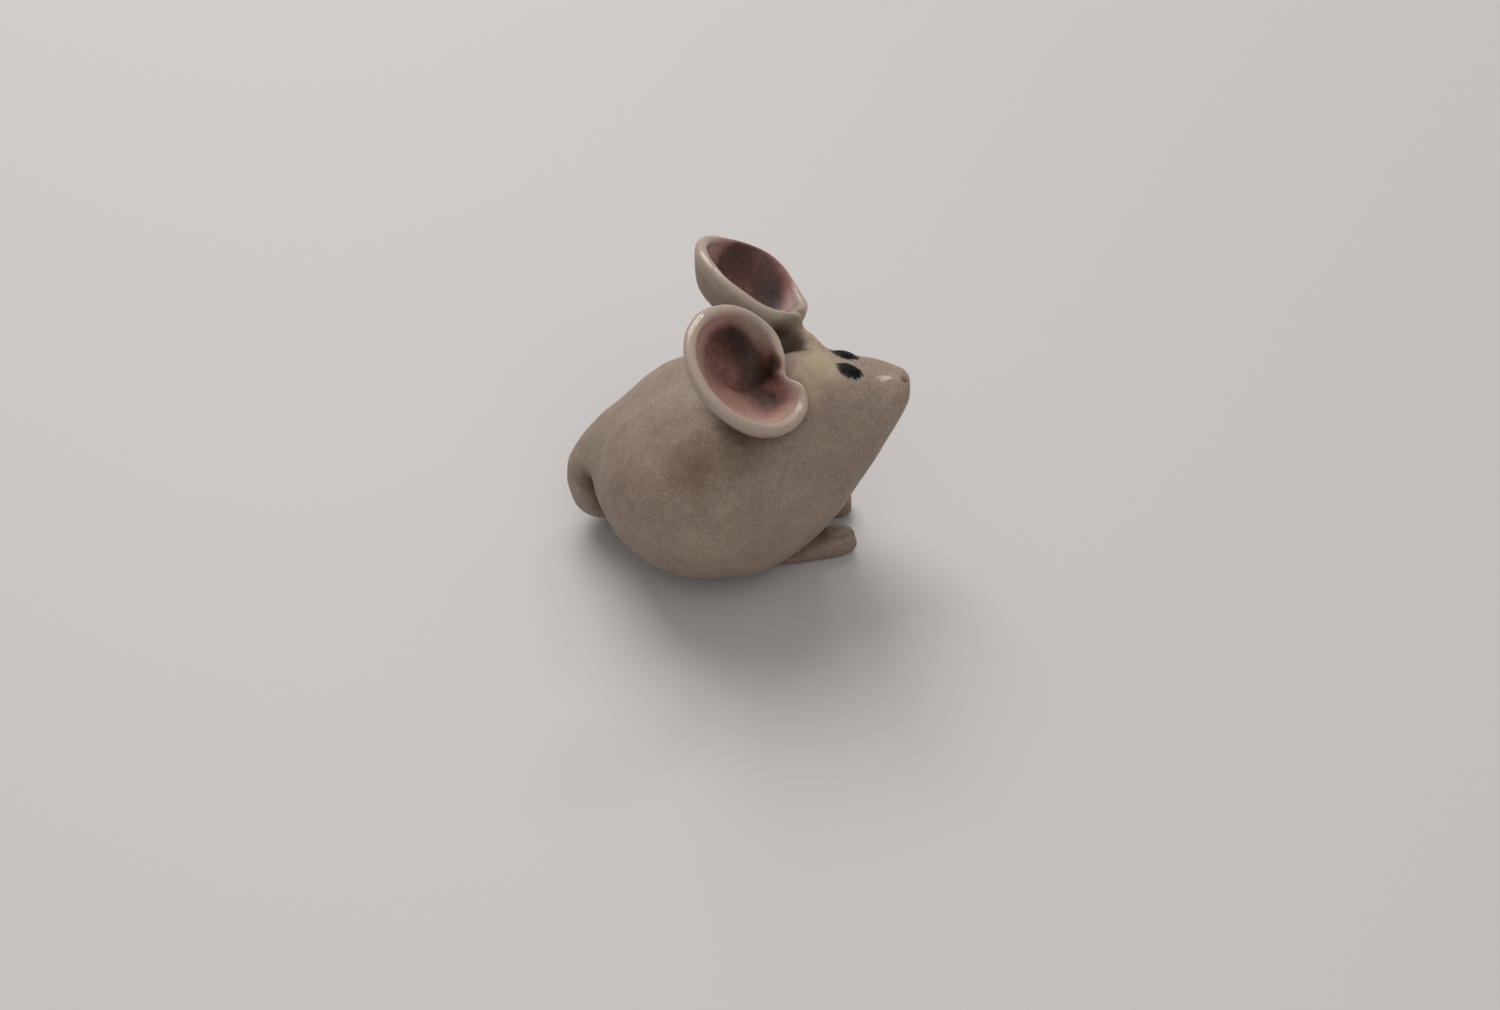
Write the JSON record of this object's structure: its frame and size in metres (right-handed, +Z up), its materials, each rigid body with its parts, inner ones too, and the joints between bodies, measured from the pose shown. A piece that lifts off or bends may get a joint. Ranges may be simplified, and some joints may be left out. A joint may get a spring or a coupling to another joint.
{
  "type": "mouse figurine",
  "caption": "Small seated ceramic mouse with large cupped ears, black eyes, short forepaws and a thick tail curled along one flank.",
  "frame": {"origin": "on the flat foot under the belly, in the plane that the figure stands on", "axes": "+X towards the nose, +Y to the mouse's left, +Z up"},
  "size_m": [0.0377, 0.03, 0.0338],
  "materials": {
    "body_glaze": "warm grey satin glaze over speckled stoneware",
    "ear_glaze": "mauve slip under clear glaze, cream at the lip",
    "paw_glaze": "thin brownish satin glaze",
    "eye_slip": "black oxide slip under glaze"
  },
  "bodies": {
    "root": {"body": "body_glaze", "tail": "body_glaze", "right_ear": "ear_glaze", "left_ear": "ear_glaze", "right_forepaw": "paw_glaze", "left_forepaw": "paw_glaze", "right_eye": "eye_slip", "left_eye": "eye_slip"}
  },
  "joints": []
}
